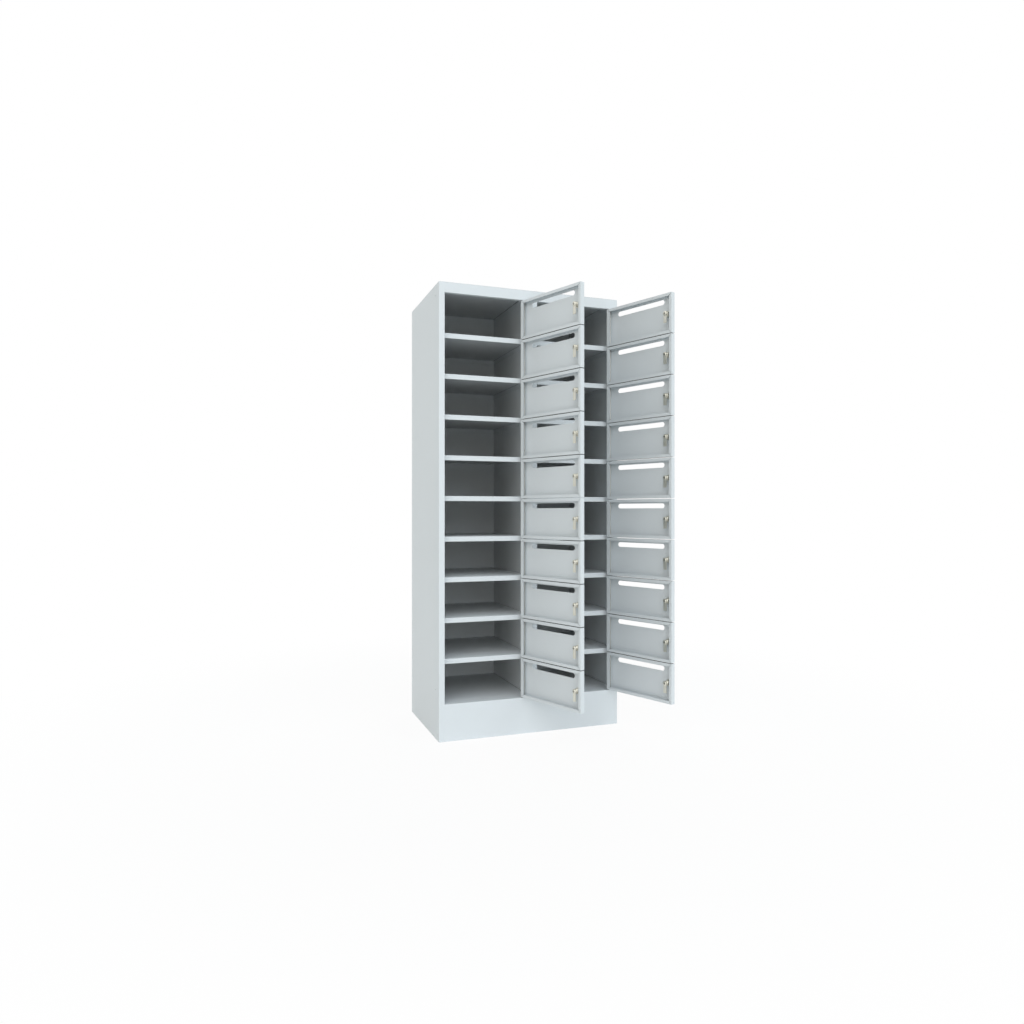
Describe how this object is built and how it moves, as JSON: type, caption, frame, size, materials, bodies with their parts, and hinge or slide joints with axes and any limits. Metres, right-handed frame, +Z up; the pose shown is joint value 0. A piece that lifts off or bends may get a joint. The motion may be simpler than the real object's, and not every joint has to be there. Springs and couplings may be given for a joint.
{
  "type": "pigeonhole mail sorter",
  "caption": "Tall sheet-steel cabinet with two columns of mail pigeonholes, each behind a slotted pan door that swings on a pivot rod and shuts with a cam lock.",
  "frame": {"origin": "centre of the cabinet's footprint, on the floor", "axes": "+X to the right seen from the front, +Y from the doors to the back, +Z up"},
  "size_m": [0.8904, 0.8247, 1.85],
  "materials": {
    "painted_sheet": "light grey powder coat, satin with a fine orange peel",
    "plated_steel": "zinc plated",
    "lock_metal": "nickel-plated zinc casting"
  },
  "bodies": {
    "cabinet": {"side_panel_left": "painted_sheet", "side_panel_right": "painted_sheet", "centre_stile": "painted_sheet", "divider_panel": "painted_sheet", "back_panel": "painted_sheet", "top_panel": "painted_sheet", "base_panel": "painted_sheet", "base_support": "painted_sheet", "top_rail": "painted_sheet", "plinth_panel": "painted_sheet", "shelves_left": "painted_sheet", "shelves_right": "painted_sheet", "pivot_lugs_left": "plated_steel", "pivot_lugs_right": "plated_steel", "pivot_rod_left": "plated_steel", "pivot_rod_right": "plated_steel"},
    "door_l01": {"door_l01": "painted_sheet"},
    "door_l02": {"door_l02": "painted_sheet"},
    "door_l03": {"door_l03": "painted_sheet"},
    "door_l04": {"door_l04": "painted_sheet"},
    "door_l05": {"door_l05": "painted_sheet"},
    "door_l06": {"door_l06": "painted_sheet"},
    "door_l07": {"door_l07": "painted_sheet"},
    "door_l08": {"door_l08": "painted_sheet"},
    "door_l09": {"door_l09": "painted_sheet"},
    "door_l10": {"door_l10": "painted_sheet"},
    "door_r01": {"door_r01": "painted_sheet"},
    "door_r02": {"door_r02": "painted_sheet"},
    "door_r03": {"door_r03": "painted_sheet"},
    "door_r04": {"door_r04": "painted_sheet"},
    "door_r05": {"door_r05": "painted_sheet"},
    "door_r06": {"door_r06": "painted_sheet"},
    "door_r07": {"door_r07": "painted_sheet"},
    "door_r08": {"door_r08": "painted_sheet"},
    "door_r09": {"door_r09": "painted_sheet"},
    "door_r10": {"door_r10": "painted_sheet"},
    "lock_l01": {"lock_l01": "lock_metal"},
    "lock_l02": {"lock_l02": "lock_metal"},
    "lock_l03": {"lock_l03": "lock_metal"},
    "lock_l04": {"lock_l04": "lock_metal"},
    "lock_l05": {"lock_l05": "lock_metal"},
    "lock_l06": {"lock_l06": "lock_metal"},
    "lock_l07": {"lock_l07": "lock_metal"},
    "lock_l08": {"lock_l08": "lock_metal"},
    "lock_l09": {"lock_l09": "lock_metal"},
    "lock_l10": {"lock_l10": "lock_metal"},
    "lock_r01": {"lock_r01": "lock_metal"},
    "lock_r02": {"lock_r02": "lock_metal"},
    "lock_r03": {"lock_r03": "lock_metal"},
    "lock_r04": {"lock_r04": "lock_metal"},
    "lock_r05": {"lock_r05": "lock_metal"},
    "lock_r06": {"lock_r06": "lock_metal"},
    "lock_r07": {"lock_r07": "lock_metal"},
    "lock_r08": {"lock_r08": "lock_metal"},
    "lock_r09": {"lock_r09": "lock_metal"},
    "lock_r10": {"lock_r10": "lock_metal"}
  },
  "joints": [
    {"name": "door_l01_hinge", "type": "hinge", "parent": "cabinet", "child": "door_l01", "pos_m": [-0.031, -0.246, 1.72375], "axis": [0, 0, -1], "range_deg": [0, 110]},
    {"name": "door_l02_hinge", "type": "hinge", "parent": "cabinet", "child": "door_l02", "pos_m": [-0.031, -0.246, 1.55825], "axis": [0, 0, -1], "range_deg": [0, 110]},
    {"name": "door_l03_hinge", "type": "hinge", "parent": "cabinet", "child": "door_l03", "pos_m": [-0.031, -0.246, 1.39275], "axis": [0, 0, -1], "range_deg": [0, 110]},
    {"name": "door_l04_hinge", "type": "hinge", "parent": "cabinet", "child": "door_l04", "pos_m": [-0.031, -0.246, 1.22725], "axis": [0, 0, -1], "range_deg": [0, 110]},
    {"name": "door_l05_hinge", "type": "hinge", "parent": "cabinet", "child": "door_l05", "pos_m": [-0.031, -0.246, 1.06175], "axis": [0, 0, -1], "range_deg": [0, 110]},
    {"name": "door_l06_hinge", "type": "hinge", "parent": "cabinet", "child": "door_l06", "pos_m": [-0.031, -0.246, 0.89625], "axis": [0, 0, -1], "range_deg": [0, 110]},
    {"name": "door_l07_hinge", "type": "hinge", "parent": "cabinet", "child": "door_l07", "pos_m": [-0.031, -0.246, 0.73075], "axis": [0, 0, -1], "range_deg": [0, 110]},
    {"name": "door_l08_hinge", "type": "hinge", "parent": "cabinet", "child": "door_l08", "pos_m": [-0.031, -0.246, 0.56525], "axis": [0, 0, -1], "range_deg": [0, 110]},
    {"name": "door_l09_hinge", "type": "hinge", "parent": "cabinet", "child": "door_l09", "pos_m": [-0.031, -0.246, 0.39975], "axis": [0, 0, -1], "range_deg": [0, 110]},
    {"name": "door_l10_hinge", "type": "hinge", "parent": "cabinet", "child": "door_l10", "pos_m": [-0.031, -0.246, 0.23425], "axis": [0, 0, -1], "range_deg": [0, 110]},
    {"name": "door_r01_hinge", "type": "hinge", "parent": "cabinet", "child": "door_r01", "pos_m": [0.369, -0.246, 1.72375], "axis": [0, 0, -1], "range_deg": [0, 110]},
    {"name": "door_r02_hinge", "type": "hinge", "parent": "cabinet", "child": "door_r02", "pos_m": [0.369, -0.246, 1.55825], "axis": [0, 0, -1], "range_deg": [0, 110]},
    {"name": "door_r03_hinge", "type": "hinge", "parent": "cabinet", "child": "door_r03", "pos_m": [0.369, -0.246, 1.39275], "axis": [0, 0, -1], "range_deg": [0, 110]},
    {"name": "door_r04_hinge", "type": "hinge", "parent": "cabinet", "child": "door_r04", "pos_m": [0.369, -0.246, 1.22725], "axis": [0, 0, -1], "range_deg": [0, 110]},
    {"name": "door_r05_hinge", "type": "hinge", "parent": "cabinet", "child": "door_r05", "pos_m": [0.369, -0.246, 1.06175], "axis": [0, 0, -1], "range_deg": [0, 110]},
    {"name": "door_r06_hinge", "type": "hinge", "parent": "cabinet", "child": "door_r06", "pos_m": [0.369, -0.246, 0.89625], "axis": [0, 0, -1], "range_deg": [0, 110]},
    {"name": "door_r07_hinge", "type": "hinge", "parent": "cabinet", "child": "door_r07", "pos_m": [0.369, -0.246, 0.73075], "axis": [0, 0, -1], "range_deg": [0, 110]},
    {"name": "door_r08_hinge", "type": "hinge", "parent": "cabinet", "child": "door_r08", "pos_m": [0.369, -0.246, 0.56525], "axis": [0, 0, -1], "range_deg": [0, 110]},
    {"name": "door_r09_hinge", "type": "hinge", "parent": "cabinet", "child": "door_r09", "pos_m": [0.369, -0.246, 0.39975], "axis": [0, 0, -1], "range_deg": [0, 110]},
    {"name": "door_r10_hinge", "type": "hinge", "parent": "cabinet", "child": "door_r10", "pos_m": [0.369, -0.246, 0.23425], "axis": [0, 0, -1], "range_deg": [0, 110]},
    {"name": "lock_l01_turn", "type": "hinge", "parent": "door_l01", "child": "lock_l01", "pos_m": [0.05888, -0.5485, 1.72375], "axis": [-0.9397, -0.342, 0], "range_deg": [0, 90]},
    {"name": "lock_l02_turn", "type": "hinge", "parent": "door_l02", "child": "lock_l02", "pos_m": [0.05888, -0.5485, 1.55825], "axis": [-0.9397, -0.342, 0], "range_deg": [0, 90]},
    {"name": "lock_l03_turn", "type": "hinge", "parent": "door_l03", "child": "lock_l03", "pos_m": [0.05888, -0.5485, 1.39275], "axis": [-0.9397, -0.342, 0], "range_deg": [0, 90]},
    {"name": "lock_l04_turn", "type": "hinge", "parent": "door_l04", "child": "lock_l04", "pos_m": [0.05888, -0.5485, 1.22725], "axis": [-0.9397, -0.342, 0], "range_deg": [0, 90]},
    {"name": "lock_l05_turn", "type": "hinge", "parent": "door_l05", "child": "lock_l05", "pos_m": [0.05888, -0.5485, 1.06175], "axis": [-0.9397, -0.342, 0], "range_deg": [0, 90]},
    {"name": "lock_l06_turn", "type": "hinge", "parent": "door_l06", "child": "lock_l06", "pos_m": [0.05888, -0.5485, 0.89625], "axis": [-0.9397, -0.342, 0], "range_deg": [0, 90]},
    {"name": "lock_l07_turn", "type": "hinge", "parent": "door_l07", "child": "lock_l07", "pos_m": [0.05888, -0.5485, 0.73075], "axis": [-0.9397, -0.342, 0], "range_deg": [0, 90]},
    {"name": "lock_l08_turn", "type": "hinge", "parent": "door_l08", "child": "lock_l08", "pos_m": [0.05888, -0.5485, 0.56525], "axis": [-0.9397, -0.342, 0], "range_deg": [0, 90]},
    {"name": "lock_l09_turn", "type": "hinge", "parent": "door_l09", "child": "lock_l09", "pos_m": [0.05888, -0.5485, 0.39975], "axis": [-0.9397, -0.342, 0], "range_deg": [0, 90]},
    {"name": "lock_l10_turn", "type": "hinge", "parent": "door_l10", "child": "lock_l10", "pos_m": [0.05888, -0.5485, 0.23425], "axis": [-0.9397, -0.342, 0], "range_deg": [0, 90]},
    {"name": "lock_r01_turn", "type": "hinge", "parent": "door_r01", "child": "lock_r01", "pos_m": [0.45888, -0.5485, 1.72375], "axis": [-0.9397, -0.342, 0], "range_deg": [0, 90]},
    {"name": "lock_r02_turn", "type": "hinge", "parent": "door_r02", "child": "lock_r02", "pos_m": [0.45888, -0.5485, 1.55825], "axis": [-0.9397, -0.342, 0], "range_deg": [0, 90]},
    {"name": "lock_r03_turn", "type": "hinge", "parent": "door_r03", "child": "lock_r03", "pos_m": [0.45888, -0.5485, 1.39275], "axis": [-0.9397, -0.342, 0], "range_deg": [0, 90]},
    {"name": "lock_r04_turn", "type": "hinge", "parent": "door_r04", "child": "lock_r04", "pos_m": [0.45888, -0.5485, 1.22725], "axis": [-0.9397, -0.342, 0], "range_deg": [0, 90]},
    {"name": "lock_r05_turn", "type": "hinge", "parent": "door_r05", "child": "lock_r05", "pos_m": [0.45888, -0.5485, 1.06175], "axis": [-0.9397, -0.342, 0], "range_deg": [0, 90]},
    {"name": "lock_r06_turn", "type": "hinge", "parent": "door_r06", "child": "lock_r06", "pos_m": [0.45888, -0.5485, 0.89625], "axis": [-0.9397, -0.342, 0], "range_deg": [0, 90]},
    {"name": "lock_r07_turn", "type": "hinge", "parent": "door_r07", "child": "lock_r07", "pos_m": [0.45888, -0.5485, 0.73075], "axis": [-0.9397, -0.342, 0], "range_deg": [0, 90]},
    {"name": "lock_r08_turn", "type": "hinge", "parent": "door_r08", "child": "lock_r08", "pos_m": [0.45888, -0.5485, 0.56525], "axis": [-0.9397, -0.342, 0], "range_deg": [0, 90]},
    {"name": "lock_r09_turn", "type": "hinge", "parent": "door_r09", "child": "lock_r09", "pos_m": [0.45888, -0.5485, 0.39975], "axis": [-0.9397, -0.342, 0], "range_deg": [0, 90]},
    {"name": "lock_r10_turn", "type": "hinge", "parent": "door_r10", "child": "lock_r10", "pos_m": [0.45888, -0.5485, 0.23425], "axis": [-0.9397, -0.342, 0], "range_deg": [0, 90]}
  ]
}
